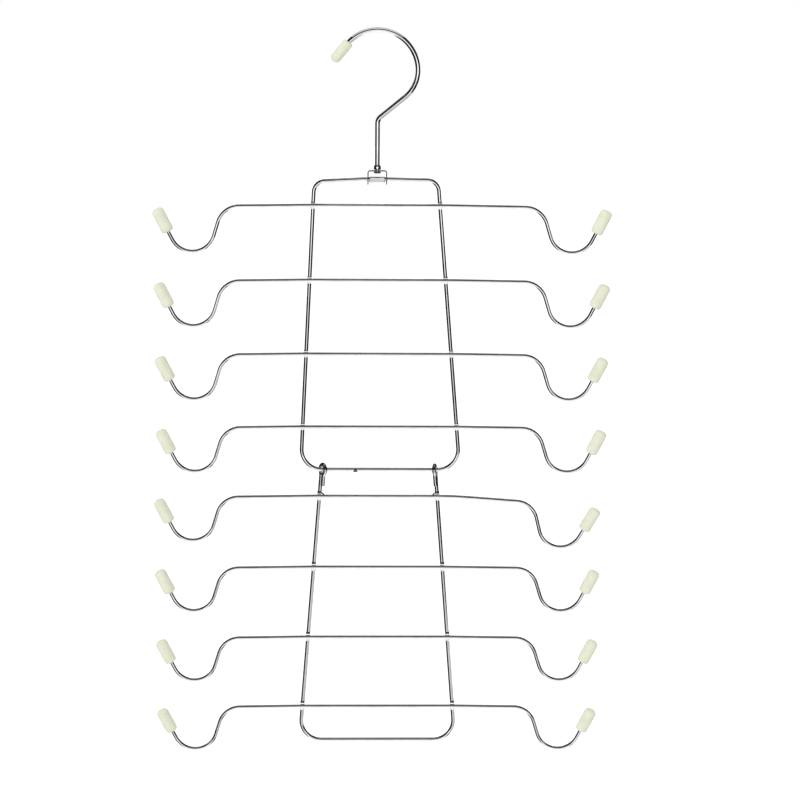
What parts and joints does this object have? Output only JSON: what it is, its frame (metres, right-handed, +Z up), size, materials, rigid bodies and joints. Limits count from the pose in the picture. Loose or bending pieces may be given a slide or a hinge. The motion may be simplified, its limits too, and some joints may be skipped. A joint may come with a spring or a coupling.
{
  "type": "multi-layer folding hanger",
  "caption": "Chromed wire hanger with tiers of arms on two frames that fold together, a swivel hook and soft ivory tips on every wire end.",
  "frame": {"origin": "the point inside the top of the hook that rests on the clothes rail", "axes": "+Z up as the hanger hangs, +X to the right seen from the front, along the arms, -Y towards the front, where the arms are"},
  "size_m": [0.2845, 0.0106, 0.4593],
  "materials": {
    "chrome_wire": "bright chrome plating on drawn steel wire",
    "plated_sheet": "bright plating on stamped steel sheet, slightly softer than the wire",
    "ivory_tip": "soft dipped vinyl in ivory, satin"
  },
  "bodies": {
    "hook": {"hook_wire": "chrome_wire", "hook_tip": "ivory_tip"},
    "bracket": {"swivel_bracket": "plated_sheet"},
    "upper_half": {"upper_frame": "chrome_wire", "upper_arm_1": "chrome_wire", "upper_arm_2": "chrome_wire", "upper_arm_3": "chrome_wire", "upper_arm_4": "chrome_wire", "tip_1_left": "ivory_tip", "tip_1_right": "ivory_tip", "tip_2_left": "ivory_tip", "tip_2_right": "ivory_tip", "tip_3_left": "ivory_tip", "tip_3_right": "ivory_tip", "tip_4_left": "ivory_tip", "tip_4_right": "ivory_tip"},
    "lower_half": {"lower_frame": "chrome_wire", "lower_arm_5": "chrome_wire", "lower_arm_6": "chrome_wire", "lower_arm_7": "chrome_wire", "lower_arm_8": "chrome_wire", "tip_5_left": "ivory_tip", "tip_5_right": "ivory_tip", "tip_6_left": "ivory_tip", "tip_6_right": "ivory_tip", "tip_7_left": "ivory_tip", "tip_7_right": "ivory_tip", "tip_8_left": "ivory_tip", "tip_8_right": "ivory_tip"}
  },
  "joints": [
    {"name": "hook_swivel", "type": "hinge", "parent": "hook", "child": "bracket", "pos_m": [0, 0, -0.084], "axis": [0, 0, 1], "continuous": true},
    {"name": "bracket_hinge", "type": "hinge", "parent": "bracket", "child": "upper_half", "pos_m": [0, 0, -0.08875], "axis": [1, 0, 0], "range_deg": [-90, 90]},
    {"name": "fold_hinge", "type": "hinge", "parent": "upper_half", "child": "lower_half", "pos_m": [0.0016, 0, -0.27115], "axis": [1, 0, 0], "range_deg": [-148, 170]}
  ]
}
